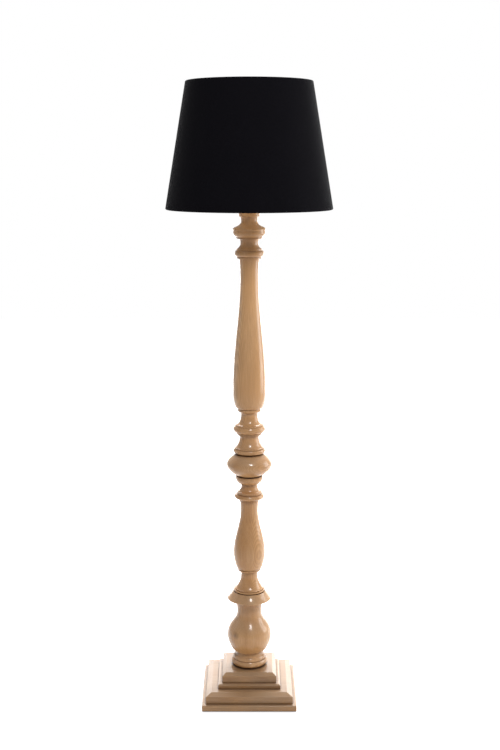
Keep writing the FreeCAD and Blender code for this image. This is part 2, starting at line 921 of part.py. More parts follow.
def bulb_glass():
    # Neck in the cap, an S into the globe, and a hollow of the same form inside.
    globe_middle = bulb_top - bulb_radius
    neck = bulb_cap_radius - bulb_wall / 2.0 - slip_fit
    tuck = bulb_cap_top - bulb_tuck
    outline = Outline(neck - bulb_wall, tuck)
    outline.step(neck)
    outline.line(neck, bulb_cap_top)
    outline.s_curve(bulb_radius, globe_middle - bulb_cap_top, bulb_neck_share, bulb_globe_share)
    outline.upright_to_level(0.0, bulb_radius)
    outline.line(0.0, bulb_top - bulb_wall)
    outline.level_to_upright(bulb_radius - bulb_wall, bulb_wall - bulb_radius)
    outline.s_curve(neck - bulb_wall, bulb_cap_top - globe_middle, bulb_globe_share, bulb_neck_share)
    return outline.revolve()


# Shade. Its section is laid along the slant between the middles of its two ring wires.
cover_reach = ring_wire_radius + 2.0 * laminate_gap + lining_thickness + cover_thickness
shade_bottom = fitter_middle - shade_drop
shade_top = shade_bottom + shade_height
bottom_ring_radius = shade_bottom_radius - cover_reach
top_ring_radius = shade_top_radius - cover_reach
bottom_ring_height = shade_bottom + cover_reach
top_ring_height = shade_top - cover_reach
slant = at(top_ring_radius - bottom_ring_radius, 0.0, top_ring_height - bottom_ring_height)
slant.normalize()
outward = at(slant.z, 0.0, -slant.x)
bottom_ring_point = at(bottom_ring_radius, 0.0, bottom_ring_height)
top_ring_point = at(top_ring_radius, 0.0, top_ring_height)


def ring_wire(point):
    return Part.makeTorus(point.x, ring_wire_radius, at(0.0, 0.0, point.z))


def revolved(edges):
    return solid_of(Part.Face(Part.Wire(edges)).revolve(middle, upright, 360))


def shade_lining():
    inner = outward * (ring_wire_radius + laminate_gap)
    outer = inner + outward * lining_thickness
    corners = [bottom_ring_point + inner, bottom_ring_point + outer,
               top_ring_point + outer, top_ring_point + inner]
    return revolved(Part.makePolygon(corners + corners[:1]).Edges)


def hem_arc(point, along, reach):
    return Part.Arc(point + outward * reach, point + along * reach, point - outward * reach).toShape()


def shade_cover(arms):
    # One skin from ring to ring, rolled round each ring wire and back up or down the inside.
    skin = cover_reach - cover_thickness
    hem = slant * hem_depth
    low, high = bottom_ring_point, top_ring_point
    outer, inner = outward * cover_reach, outward * skin
    edges = [
        Part.makeLine(low + outer, high + outer),
        hem_arc(high, slant, cover_reach),
        Part.makeLine(high - outer, high - outer - hem),
        Part.makeLine(high - outer - hem, high - inner - hem),
        Part.makeLine(high - inner - hem, high - inner),
        hem_arc(high, slant, skin),
        Part.makeLine(high + inner, low + inner),
        hem_arc(low, slant * -1.0, skin),
        Part.makeLine(low - inner, low - inner + hem),
        Part.makeLine(low - inner + hem, low - outer + hem),
        Part.makeLine(low - outer + hem, low - outer),
        hem_arc(low, slant * -1.0, cover_reach),
    ]
    cover = revolved(edges)
    for arm in arms:
        cover = cover.cut(arm)
    return solid_of(cover)


def spider_arm(degrees, fit=0.0):
    # Welded low on the fitter ring, so that the collar above it turns clear. The arm is level at
    # first, bends once and runs down to the wire of the bottom ring.
    start = at(collar_radius + moving_fit, 0.0, fitter_middle - arm_set_down)
    corner = start + at(arm_level_run, 0.0, 0.0)
    foot = bottom_ring_point - at(ring_wire_radius + weld_gap, 0.0, 0.0)
    fall = (foot - corner).normalize()
    turn = fall.getAngle(at(1.0, 0.0, 0.0))
    tangent = arm_bend_radius * math.tan(turn / 2.0)
    bend_start = corner - at(tangent, 0.0, 0.0)
    bend_end = corner + fall * tangent
    centre = bend_start - upright * arm_bend_radius
    bend_middle = centre + (corner - centre).normalize() * arm_bend_radius
    path = Part.Wire([
        Part.makeLine(start, bend_start),
        Part.Arc(bend_start, bend_middle, bend_end).toShape(),
        Part.makeLine(bend_end, foot),
    ])
    section = Part.Wire([Part.makeCircle(arm_radius + fit, start, at(1.0, 0.0, 0.0))])
    arm = solid_of(path.makePipeShell([section], True, False))
    arm.rotate(middle, upright, degrees)
    return arm


def arm_angles():
    return [arm_first_angle + 360.0 / arm_count * i for i in range(arm_count)]


def shade_spider():
    spider = tube(fitter_ring_radius, fitter_bore_radius, fitter_bottom, fitter_thickness)
    for degrees in arm_angles():
        spider = spider.fuse(spider_arm(degrees))
    return solid_of(spider)


parts = {
    "base_felt": base_felt(),
    "base_slab": base_slab(),
    "base_step_lower": lower_step(),
    "base_step_middle": middle_step(),
    "base_step_upper": upper_step(),
    "base_screws": Part.Compound([base_screw(place) for place in base_screw_places()]),
    "ballast_ring": ballast_ring(),
    "ballast_screws": Part.Compound([ballast_screw(place) for place in ballast_screw_places()]),
    "cord_gland": cord_gland(),
    "terminal_block": terminal_block(),
    "terminal_block_screw": block_screw(),
    "inner_lead": inner_lead(),
    "tube_washer": washer(tube_washer_radius, tube_washer_bottom, tube_washer_thickness),
    "tube_nut": hex_nut(tube_nut_bottom),
    "lower_tube": lower_tube(),
    "upper_tube": upper_tube(),
    "tube_coupler": tube_coupler(),
    "pear_turning": pear,
    "lower_baluster": baluster,
    "ball_turning": ball,
    "upper_column": column,
    "column_washer": washer(column_washer_radius, column_top, column_washer_thickness),
    "check_nut": hex_nut(check_nut_bottom),
    "holder_cap": holder_cap(),
    "cap_grub_screw": grub_screw(),
    "switch_block": switch_block(),
    "terminal_screws": Part.Compound([terminal_screw(side) for side in (-1.0, 1.0)]),
    "switch_bar": switch_bar(),
    "holder_core": slotted_core(),
    "centre_contact": centre_contact(),
    "side_contact": side_contact(),
    "holder_shell": holder_shell(),
    "lower_collar": shade_collar(lower_collar_bottom, lower_collar_height),
    "upper_collar": shade_collar(upper_collar_bottom, upper_collar_height),
    "bulb_contact": bulb_contact(),
    "bulb_cap": bulb_cap(),
    "bulb_glass": bulb_glass(),
    "shade_spider": shade_spider(),
    "shade_bottom_ring": ring_wire(bottom_ring_point),
    "shade_top_ring": ring_wire(top_ring_point),
    "shade_lining": shade_lining(),
    "shade_cover": shade_cover([spider_arm(degrees, moving_fit) for degrees in arm_angles()]),
}

os.makedirs("parts", exist_ok=True)
for name, shape in parts.items():
    shape.exportStep("parts/" + name + ".step")
    print(name, len(shape.Solids), shape.isValid(), round(shape.Volume))
print("height", round(shade_top, 2), "column top", round(column_top, 2))
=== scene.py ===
import bpy
import math
from mathutils import Matrix, Vector


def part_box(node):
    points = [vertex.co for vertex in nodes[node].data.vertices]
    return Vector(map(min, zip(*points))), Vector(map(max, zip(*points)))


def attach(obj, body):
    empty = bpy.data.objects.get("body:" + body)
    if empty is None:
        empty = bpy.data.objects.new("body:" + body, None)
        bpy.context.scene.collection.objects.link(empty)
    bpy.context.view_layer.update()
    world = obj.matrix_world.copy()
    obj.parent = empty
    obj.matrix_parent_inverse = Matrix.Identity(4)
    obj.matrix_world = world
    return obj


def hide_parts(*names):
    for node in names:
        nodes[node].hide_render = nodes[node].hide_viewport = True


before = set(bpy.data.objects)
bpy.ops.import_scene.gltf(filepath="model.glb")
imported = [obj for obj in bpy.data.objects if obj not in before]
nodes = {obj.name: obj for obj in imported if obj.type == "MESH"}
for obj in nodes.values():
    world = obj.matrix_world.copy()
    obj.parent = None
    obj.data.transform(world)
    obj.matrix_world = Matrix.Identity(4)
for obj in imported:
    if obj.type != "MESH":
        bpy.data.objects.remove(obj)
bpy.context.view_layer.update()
mm = 0.001
print("frame loaded:", len(nodes), "nodes")


class Wire:
    # The output of a node. A sum of outputs makes the maths nodes that it stands for.
    def __init__(self, graph, socket):
        self.graph = graph
        self.socket = socket

    def beside(self, output):
        # another output of the same node
        return Wire(self.graph, self.socket.node.outputs[output])

    def sum(self, operation, first, second):
        return self.graph.node("ShaderNodeMath", {"operation": operation}, {0: first, 1: second})

    def __add__(self, other):
        return self.sum("ADD", self, other)

    def __radd__(self, other):
        return self.sum("ADD", other, self)

    def __sub__(self, other):
        return self.sum("SUBTRACT", self, other)

    def __rsub__(self, other):
        return self.sum("SUBTRACT", other, self)

    def __mul__(self, other):
        return self.sum("MULTIPLY", self, other)

    def __rmul__(self, other):
        return self.sum("MULTIPLY", other, self)

    def __truediv__(self, other):
        return self.sum("DIVIDE", self, other)


class Graph:
    # A node tree with one way of adding a node to it.
    def __init__(self, tree):
        self.tree = tree

    def node(self, kind, settings=None, inputs=None, output=0):
        made = self.tree.nodes.new(kind)
        for name, value in (settings or {}).items():
            if name == "stops":
                self.setStops(made.color_ramp, value)
            else:
                setattr(made, name, value)
        for socket, value in (inputs or {}).items():
            if isinstance(value, Wire):
                self.tree.links.new(value.socket, made.inputs[socket])
            else:
                made.inputs[socket].default_value = value
        return Wire(self, made.outputs[output])

    def setStops(self, ramp, stops):
        while len(ramp.elements) < len(stops):
            ramp.elements.new(1.0)
        for element, (position, level) in zip(ramp.elements, stops):
            element.position = position
            element.color = (level, level, level, 1.0)

    def mix(self, share, first, second, blend="MIX"):
        colours = [(*c, 1.0) if isinstance(c, tuple) else c for c in (first, second)]
        return self.node("ShaderNodeMix", {"data_type": "RGBA", "blend_type": blend},
                         {0: share, 6: colours[0], 7: colours[1]}, 2)

    def seen(self):
        # 1 for camera, glossy and transmission rays
        camera = self.node("ShaderNodeLightPath", output="Is Camera Ray")
        total = camera + camera.beside("Is Glossy Ray") + camera.beside("Is Transmission Ray")
        return self.node("ShaderNodeMath", {"operation": "MINIMUM"}, {0: total, 1: 1.0})


class Finish(Graph):
    # A material with its shader and the nodes that every finish here needs.
    def __init__(self, name, **shader):
        self.material = bpy.data.materials.new(name)
        self.material.use_nodes = True
        super().__init__(self.material.node_tree)
        self.tree.nodes.clear()
        self.shader = self.tree.nodes.new("ShaderNodeBsdfPrincipled")
        output = self.tree.nodes.new("ShaderNodeOutputMaterial")
        self.tree.links.new(self.shader.outputs[0], output.inputs["Surface"])
        for socket, value in shader.items():
            self.shader.inputs[socket.replace("_", " ")].default_value = value

    def place(self, scale=(1, 1, 1), turn=(0, 0, 0), shift=(0, 0, 0), source=None):
        source = source or self.node("ShaderNodeTexCoord", output="Object")
        return self.node("ShaderNodeMapping", None,
                         {"Vector": source, "Location": shift, "Rotation": turn, "Scale": scale})

    def noise(self, vector, detail=3.0, rough=0.55, twist=0.0, output="Fac"):
        return self.node("ShaderNodeTexNoise", None,
                         {"Vector": vector, "Scale": 1.0, "Detail": detail,
                          "Roughness": rough, "Distortion": twist}, output)

    def ramp(self, value, *stops):
        return self.node("ShaderNodeValToRGB", {"stops": stops}, {"Fac": value})

    def shifted(self, vector, colour, reach):
        # a place moved by a noise's colour
        return self.node("ShaderNodeVectorMath", {"operation": "MULTIPLY_ADD"},
                         {0: colour, 1: reach, 2: vector})

    def bump(self, height, distance, strength=1.0, below=None):
        inputs = {"Height": height, "Distance": distance, "Strength": strength}
        if below:
            inputs["Normal"] = below
        return self.node("ShaderNodeBump", None, inputs)

    def near(self, distance, inside=False):
        # 1 in the open, less where other surfaces stand closer than the distance
        return self.node("ShaderNodeAmbientOcclusion", {"samples": 8, "inside": inside},
                         {"Distance": distance}, "AO")

    def feed(self, **sockets):
        for socket, wire in sockets.items():
            self.tree.links.new(wire.socket, self.shader.inputs[socket.replace("_", " ")])
        return self


oak = {
    "pale": (0.620, 0.360, 0.165),
    "warm": (0.460, 0.225, 0.080),
    "grey": (0.350, 0.232, 0.140),
    "line": (0.190, 0.092, 0.036),
    # pale lime in the pores, also laid on the arrises as rubbed wear with a painted highlight
    "lime": (0.460, 0.350, 0.245),
    # a dark colour for the knot and for the painted shade in the hollows
    "shade": (0.075, 0.034, 0.014),
    "ringWidth": 2.6 * mm,
    "ringStretch": 0.03,
    "wander": (0.030, 0.030, 0.0),
    "wanderScale": (7, 7, 0.9),
    "streakScale": (420, 420, 9),
    "broadScale": (17, 17, 2.3),
    "cloudScale": (9, 9, 9),
    "poreLength": 3.5 * mm,
    "poreWidth": 0.16 * mm,
    "knot": (-0.036, -0.042, 0.173),
    "knotSize": 0.011,
    "knotRagged": 0.012,
    "raggedScale": (90, 90, 90),
    "hollowReach": 9 * mm,
    "arrisReach": 3.2 * mm,
    "poreRelief": 0.04 * mm,
    "grainRelief": 0.015 * mm,
}

# how much of each colour goes over the ones below it, in the order in which they are laid on
oakLayers = {
    "ringLine": 0.30,
    "streakLine": 0.30,
    "poreLime": 0.42,
    "knotShade": 0.55,
    # the next two are painted light: a grey reflection on faces that look up, warm bounce on faces that
    # look down
    "paintedReflectionAbove": 0.8,
    "paintedBounceBelow": 0.45,
    # painted shade in the hollows, then rubbed wear with a painted highlight on the arrises
    "hollowShade": 0.85,
    "arrisWearAndHighlight": 0.70,
}


def limedOak(name, heart, along="z", tint=1.0, greyness=0.35):
    # Oak under a grey lime wash and a satin lacquer. The rings run round a heart beside the blank,
    # and the pores are short dashes along the grain.
    wood = Finish(name, Coat_Roughness=0.17, Coat_IOR=1.45, IOR=1.45, Specular_IOR_Level=0.12)
    turn = (0, 0, 0) if along == "z" else (0, math.radians(90), 0)
    grain = wood.place(turn=turn)
    drift = wood.noise(wood.place(oak["wanderScale"], source=grain), detail=2.0, output="Color")
    bent = wood.shifted(grain, drift, oak["wander"])
    middle = wood.place(shift=heart, scale=(1, 1, oak["ringStretch"]), source=bent)
    radius = wood.node("ShaderNodeVectorMath", {"operation": "LENGTH"}, {0: middle}, "Value")
    year = wood.node("ShaderNodeMath", {"operation": "FRACT"}, {0: radius / oak["ringWidth"]})
    early = wood.ramp(year, (0.0, 0.15), (0.30, 1.0), (0.72, 0.45), (0.93, 0.0), (1.0, 0.15))
    streak = wood.noise(wood.place(oak["streakScale"], source=grain), detail=4.0, rough=0.62)
    broad = wood.noise(wood.place(oak["broadScale"], source=grain), rough=0.5, twist=0.6)
    cloud = wood.noise(wood.place(oak["cloudScale"]), detail=2.0)
    fine = (1 / oak["poreWidth"], 1 / oak["poreWidth"], 1 / oak["poreLength"])
    dashes = wood.noise(wood.place(fine, source=grain), detail=1.0, rough=0.4)
    pore = wood.ramp(dashes, (0.60, 0.0), (0.70, 1.0)) * (0.35 + 0.65 * early)
    silk = wood.ramp(streak, (0.30, 0.0), (0.72, 1.0))
    ragged = wood.noise(wood.place(oak["raggedScale"]), output="Color")
    fromKnot = wood.node("ShaderNodeVectorMath", {"operation": "DISTANCE"},
                         {0: wood.shifted(wood.place(), ragged, (oak["knotRagged"],) * 3),
                          1: [k + oak["knotRagged"] / 2 for k in oak["knot"]]}, "Value")
    knot = wood.ramp(fromKnot / oak["knotSize"], (0.15, 1.0), (1.0, 0.0))

    colour = wood.mix(wood.ramp(broad, (0.33, 0.0), (0.68, 1.0)), oak["warm"], oak["pale"])
    colour = wood.mix(wood.ramp(cloud, (0.35, 0.0), (0.75, 1.0)) * greyness, colour, oak["grey"])
    colour = wood.mix((1 - early) * oakLayers["ringLine"], colour, oak["line"])
    colour = wood.mix(silk * oakLayers["streakLine"], colour, oak["line"])
    colour = wood.mix(pore * oakLayers["poreLime"], colour, oak["lime"])
    colour = wood.mix(knot * oakLayers["knotShade"], colour, oak["shade"])

    # painted light: a painted grey reflection on what faces up, and painted warm bounce light on what faces
    # down
    facing = wood.node("ShaderNodeTexCoord", output="Normal")
    rise = wood.node("ShaderNodeSeparateXYZ", None, {0: facing}, "Z")
    upward = wood.ramp(rise, (0.05, 0.0), (0.85, 1.0))
    downward = wood.ramp(rise * -1.0, (0.05, 0.0), (0.80, 1.0))
    colour = wood.mix(upward * greyness * oakLayers["paintedReflectionAbove"], colour, oak["grey"])
    colour = wood.mix(downward * oakLayers["paintedBounceBelow"], colour, oak["warm"])

    # painted shade lies in the hollows, and the arrises are paler with rubbed wear and a painted highlight
    hollow = 1 - wood.near(oak["hollowReach"])
    arris = 1 - wood.near(oak["arrisReach"], inside=True)
    paintedHollowShade = wood.ramp(hollow, (0.20, 0.0), (0.62, 1.0))
    wornAndHighlightArris = wood.ramp(arris, (0.40, 0.0), (0.85, 1.0))
    # painted shade: darker where other surfaces stand close
    colour = wood.mix(paintedHollowShade * oakLayers["hollowShade"], colour, oak["shade"])
    # the arrises get the lime colour: partly rubbed wear, partly a painted highlight
    colour = wood.mix(wornAndHighlightArris * oakLayers["arrisWearAndHighlight"], colour, oak["lime"])
    colour = wood.mix(1.0, colour, (tint, tint, tint), "MULTIPLY")

    relief = wood.bump(pore, oak["poreRelief"], 0.5)
    relief = wood.bump(early, oak["grainRelief"], 0.4, relief)
    relief = wood.bump(streak, oak["grainRelief"], 0.4, relief)
    return wood.feed(
        Base_Color=colour,
        Roughness=0.38 + 0.14 * silk + 0.14 * pore,
        Coat_Weight=0.60 - 0.25 * pore - 0.30 * hollow,
        Normal=relief,
    )


# greyness sets the random grey of each blank and how strongly painted reflection greys its faces that look
# up
blanks = {
    "pear_turning": {"heart": (0.135, 0.085, 0), "greyness": 0.50},
    "lower_baluster": {"heart": (-0.110, 0.095, 0), "greyness": 0.15},
    "ball_turning": {"heart": (0.070, -0.140, 0), "greyness": 0.45},
    "upper_column": {"heart": (0.120, 0.060, 0), "greyness": 0.25},
    "base_slab": {"heart": (0.060, 0.210, 0), "along": "x", "tint": 0.80, "greyness": 0.65},
    "base_step_lower": {"heart": (-0.040, 0.180, 0), "along": "x", "tint": 0.76, "greyness": 0.65},
    "base_step_middle": {"heart": (0.110, 0.150, 0), "along": "x", "tint": 0.78, "greyness": 0.65},
    "base_step_upper": {"heart": (-0.080, 0.170, 0), "along": "x", "tint": 0.78, "greyness": 0.65},
}

cloth = {
    "thread": (0.0026, 0.0024, 0.0034),
    "slub": (0.0050, 0.0046, 0.0062),
    "threadWidth": 0.55 * mm,
    "wander": (0.5 * mm, 0.5 * mm, 0.0),
    "wanderScale": (55, 55, 1),
    "warpScale": (900, 14, 1),
    "weftScale": (11, 760, 1),
    "cloudScale": (16, 16, 1),
    "crossingShare": 0.35,
    "cloudShare": 0.4,
    "weaveRelief": 0.10 * mm,
    "slubRelief": 0.08 * mm,
}


def blackCotton(name):
    # Plain weave read from the flat pattern of the cloth, so that the threads stay square to it.
    weave = Finish(name, Sheen_Weight=0.021, Sheen_Roughness=0.30, IOR=1.38, Specular_IOR_Level=0.04)
    flat = weave.node("ShaderNodeUVMap", {"uv_map": "cloth"})
    uneven = weave.noise(weave.place(cloth["wanderScale"], source=flat), detail=2.0, output="Color")
    flat = weave.shifted(flat, uneven, cloth["wander"])
    across = weave.node("ShaderNodeSeparateXYZ", None, {0: flat}) * (math.pi / cloth["threadWidth"])
    along = weave.node("ShaderNodeSeparateXYZ", None, {0: flat}, "Y") * (math.pi / cloth["threadWidth"])
    warp = weave.node("ShaderNodeMath", {"operation": "SINE"}, {0: across})
    weft = weave.node("ShaderNodeMath", {"operation": "SINE"}, {0: along})
    crossing = warp * weft
    warpSlub = weave.noise(weave.place(cloth["warpScale"], source=flat), rough=0.6)
    weftSlub = weave.noise(weave.place(cloth["weftScale"], source=flat), rough=0.6)
    cloud = weave.noise(weave.place(cloth["cloudScale"], source=flat))
    slub = weave.ramp(warpSlub * 0.5 + weftSlub * 0.5, (0.38, 0.0), (0.66, 1.0))
    colour = weave.mix(slub, cloth["thread"], cloth["slub"])
    over = weave.ramp(crossing, (0.0, 0.0), (1.0, 1.0))
    colour = weave.mix(over * cloth["crossingShare"], colour, cloth["thread"])
    dull = weave.ramp(cloud, (0.30, 0.0), (0.75, 1.0))
    colour = weave.mix(dull * cloth["cloudShare"], colour, cloth["thread"])
    relief = weave.bump(crossing, cloth["weaveRelief"], 0.45)
    relief = weave.bump(slub, cloth["slubRelief"], 0.35, relief)
    return weave.feed(Base_Color=colour, Roughness=0.78 + 0.12 * slub, Normal=relief)


# speck gives flecks in roughness and bumps; the rest sets the painted shade where surfaces meet
speckAndContactShade = {
    "speckScale": (1900, 1900, 1900),
    "speckRough": 0.06,
    "contactShadeReach": 3 * mm,
    "contactShadeShare": 0.45,
    "contactShadeDepth": 0.35,
}


def fitting(name, low, high, grain=(60, 60, 60), rough=(0.3, 0.45), relief=0.02, **shader):
    # Two near colours that drift into each other, with painted shade where surfaces meet.
    finish = Finish(name, **shader)
    drift = finish.ramp(finish.noise(finish.place(grain), detail=4.0, rough=0.6), (0.32, 0.0), (0.70, 1.0))
    speck = finish.noise(finish.place(speckAndContactShade["speckScale"]), detail=2.0)
    # painted shade: darker where other surfaces stand close
    paintedContactShade = finish.ramp(1 - finish.near(speckAndContactShade["contactShadeReach"]), (0.25, 0.0), (0.90, 1.0))
    colour = finish.mix(drift, low, high)
    paintedShadeColour = tuple(speckAndContactShade["contactShadeDepth"] * c for c in low)
    colour = finish.mix(paintedContactShade * speckAndContactShade["contactShadeShare"], colour, paintedShadeColour)
    return finish.feed(
        Base_Color=colour,
        Roughness=rough[0] + (rough[1] - rough[0]) * drift + speckAndContactShade["speckRough"] * speck,
        Normal=finish.bump(speck, relief * mm, 0.5),
    )


finishes = {
    "cloth": blackCotton("black cotton"),
    "liner": fitting("liner sheet", (0.62, 0.58, 0.51), (0.72, 0.68, 0.61), rough=(0.50, 0.62)),
    "brass": fitting("satin brass", (0.56, 0.40, 0.17), (0.68, 0.52, 0.25), (90, 90, 900),
                     (0.26, 0.38), 0.01, Metallic=1.0),
    "contact": fitting("brass strip", (0.66, 0.50, 0.24), (0.76, 0.61, 0.32),
                       rough=(0.2, 0.3), Metallic=1.0),
    "porcelain": fitting("porcelain", (0.74, 0.73, 0.69), (0.82, 0.81, 0.78), rough=(0.10, 0.18),
                         Coat_Weight=0.6, Coat_Roughness=0.06),
    "wire": fitting("coated wire", (0.68, 0.68, 0.66), (0.76, 0.76, 0.74), rough=(0.30, 0.42)),
    "zinc": fitting("zinc steel", (0.50, 0.51, 0.53), (0.62, 0.63, 0.66), (300, 300, 300),
                    (0.30, 0.44), Metallic=1.0),
    "iron": fitting("cast iron", (0.045, 0.045, 0.046), (0.085, 0.083, 0.080), (220, 220, 220),
                    (0.62, 0.80), 0.3),
    "black": fitting("black plastic", (0.016, 0.016, 0.017), (0.028, 0.028, 0.029), rough=(0.38, 0.50)),
    "white": fitting("white plastic", (0.70, 0.70, 0.68), (0.77, 0.77, 0.75), rough=(0.35, 0.45)),
    "sheath": fitting("lead sheath", (0.030, 0.030, 0.031), (0.045, 0.045, 0.046), rough=(0.48, 0.60)),
    "bulbMetal": fitting("bulb shell", (0.62, 0.62, 0.61), (0.74, 0.74, 0.73), (200, 200, 200),
                         (0.22, 0.34), Metallic=1.0),
    "bulbInsulator": fitting("bulb insulator", (0.012, 0.012, 0.013), (0.020, 0.020, 0.022),
                             rough=(0.1, 0.2)),
    "opal": fitting("opal glass", (0.80, 0.80, 0.785), (0.86, 0.86, 0.85), rough=(0.16, 0.24),
                    Coat_Weight=0.5, Coat_Roughness=0.05, Subsurface_Weight=0.15, Subsurface_Scale=0.004),
    "felt": fitting("felt", (0.028, 0.028, 0.026), (0.060, 0.058, 0.054), (420, 420, 420),
                    (0.90, 0.98), 0.4, Sheen_Weight=0.3),
}

for name, cut in blanks.items():
    finishes[name] = limedOak(name.replace("_", " ") + " oak", **cut)

nodeFinishes = {
    "cloth": ["shade_cover"],
    "liner": ["shade_lining"],
    "brass": ["column_washer", "holder_cap", "holder_shell", "lower_collar", "upper_collar", "switch_bar"],
    "contact": ["centre_contact", "side_contact"],
    "porcelain": ["holder_core"],
    "wire": ["shade_spider", "shade_bottom_ring", "shade_top_ring"],
    "zinc": ["base_screws", "ballast_screws", "terminal_block_screw", "tube_washer", "tube_nut",
             "lower_tube", "upper_tube", "tube_coupler", "check_nut", "cap_grub_screw",
             "terminal_screws"],
    "iron": ["ballast_ring"],
    "black": ["cord_gland", "switch_block"],
    "white": ["terminal_block"],
    "sheath": ["inner_lead"],
    "bulbMetal": ["bulb_cap"],
    "bulbInsulator": ["bulb_contact"],
    "opal": ["bulb_glass"],
    "felt": ["base_felt"],
}
nodeFinishes.update({name: [name] for name in blanks})
for finish, names in nodeFinishes.items():
    for name in names:
        for materialSlot in nodes[name].material_slots:
            materialSlot.material = finishes[finish].material
print("finishes on the nodes")


def pickFaces(piece, wanted):
    # Enters edit mode with only the wanted faces selected.
    bpy.context.tool_settings.mesh_select_mode = (False, False, True)
    bpy.ops.object.mode_set(mode="EDIT")
    bpy.ops.mesh.select_all(action="DESELECT")
    bpy.ops.object.mode_set(mode="OBJECT")
    for face in piece.data.polygons:
        face.select = wanted(face)
    bpy.ops.object.mode_set(mode="EDIT")


def drawLine(name, points):
    # One vertex drawn on from point to point. It stays in edit mode.
    bpy.context.tool_settings.mesh_select_mode = (True, False, False)
    bpy.ops.object.select_all(action="DESELECT")
    bpy.ops.mesh.primitive_plane_add(size=mm)
    piece = bpy.context.object
    piece.name = name
    piece.data.name = name
    bpy.ops.object.mode_set(mode="EDIT")
    bpy.ops.mesh.select_all(action="SELECT")
    bpy.ops.mesh.merge(type="CENTER")
    bpy.ops.transform.translate(value=points[0])
    for start, end in zip(points, points[1:]):
        bpy.ops.mesh.extrude_region_move(TRANSFORM_OT_translate={"value": end - start})
    return piece


def weld():
    # Joins what meets, turns the faces outward and leaves edit mode.
    bpy.ops.mesh.select_all(action="SELECT")
    bpy.ops.mesh.remove_doubles(threshold=0.01 * mm)
    bpy.ops.mesh.normals_make_consistent(inside=False)
    bpy.ops.object.mode_set(mode="OBJECT")


def spun(name, points, steps, degrees=360):
    # A line swept round the upright axis.
    piece = drawLine(name, points)
    bpy.ops.mesh.select_all(action="SELECT")
    bpy.ops.mesh.spin(steps=steps, angle=math.radians(degrees), center=(0, 0, 0), axis=(0, 0, 1))
    weld()
    return piece


def turned(name, outline, steps):
    # A closed outline of radii and heights, spun to a ring.
    points = [Vector((radius, 0, height)) for radius, height in outline]
    return spun(name, points + points[:1], steps)


def faceOutward(piece):
    # An open skin has its faces turned away from the axis.
    widest = max(piece.data.polygons, key=lambda face: face.area)
    if widest.normal.dot(Vector((widest.center.x, widest.center.y, 0))) < 0:
        piece.data.flip_normals()


def modify(piece, kind, **settings):
    modifier = piece.modifiers.new(kind.lower(), kind)
    for name, value in settings.items():
        setattr(modifier, name, value)
    bpy.ops.object.modifier_apply(modifier=modifier.name)


def joined(piece, *others):
    bpy.ops.object.select_all(action="DESELECT")
    for part in (piece, *others):
        part.select_set(True)
    bpy.context.view_layer.objects.active = piece
    bpy.ops.object.join()
    return piece


smoothBelow = math.radians(35)


def dress(piece, body, finish, slot, *stoodFor):
    # Smooth shading and a finish, and then the body and the nodes that the piece stands for.
    bpy.ops.object.shade_smooth_by_angle(angle=smoothBelow)
    piece.data.materials.clear()
    piece.data.materials.append(finishes[finish].material)
    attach(piece, body)
    if stoodFor:
        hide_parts(*stoodFor)
    return piece


def azimuth(point):
    return math.degrees(math.atan2(point.y, point.x)) % 360


shade = {
    "wire": 1.5 * mm,
    "gap": 0.05 * mm,
    "liningThickness": 0.5 * mm,
    "clothThickness": 0.8 * mm,
    "hem": 6 * mm,
    "rows": 24,
    "steps": 360,
    "hemArcSteps": 8,
    "armNotch": 1.3,
    "armAngles": (90, 210, 330),
    "seamAt": 90,
    "seamSweep": 3.4,
    "seamTurn": 120,
    "seamThickness": 0.45 * mm,
    "overlapSweep": 4.6,
    "stripSteps": 6,
}
shade["reach"] = shade["wire"] + 2 * shade["gap"] + shade["liningThickness"] + shade["clothThickness"]


def ringMiddles():
    # The middles of the two ring wires, from the nodes that hold them.
    middles = []
    for name in ("shade_bottom_ring", "shade_top_ring"):
        low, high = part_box(name)
        middles.append(Vector((high.x - shade["wire"], 0, (low.z + high.z) / 2)))
    return middles


lowRing, highRing = ringMiddles()
slant = (highRing - lowRing).normalized()
outward = Vector((slant.z, 0, -slant.x))


def hemArc(centre, along, reach, turn=180):
    # From the outer side of a wire round its end towards the inner side.
    steps = shade["hemArcSteps"]
    turns = [math.radians(turn) * i / steps for i in range(steps + 1)]
    return [centre + outward * reach * math.cos(t) + along * reach * math.sin(t) for t in turns]


def rowsBetween(low, high):
    return [low.lerp(high, i / shade["rows"]) for i in range(shade["rows"] + 1)]


def layFlat(piece):
    # The flat pattern of the cloth: a cone opens into a ring sector about its apex.
    halfAngle = math.atan2(lowRing.x - highRing.x, highRing.z - lowRing.z)
    pattern = piece.data.uv_layers.new(name="cloth")
    for face in piece.data.polygons:
        middle = (azimuth(face.center) + 90) % 360
        for loop in face.loop_indices:
            point = piece.data.vertices[piece.data.loops[loop].vertex_index].co
            around = (azimuth(point) + 90) % 360
            around += 360 * round((middle - around) / 360)
            sweep = math.radians(around - 180) * math.sin(halfAngle)
            run = math.hypot(point.x, point.y) / math.sin(halfAngle)
            pattern.data[loop].uv = (run * math.sin(sweep), run * math.cos(sweep))


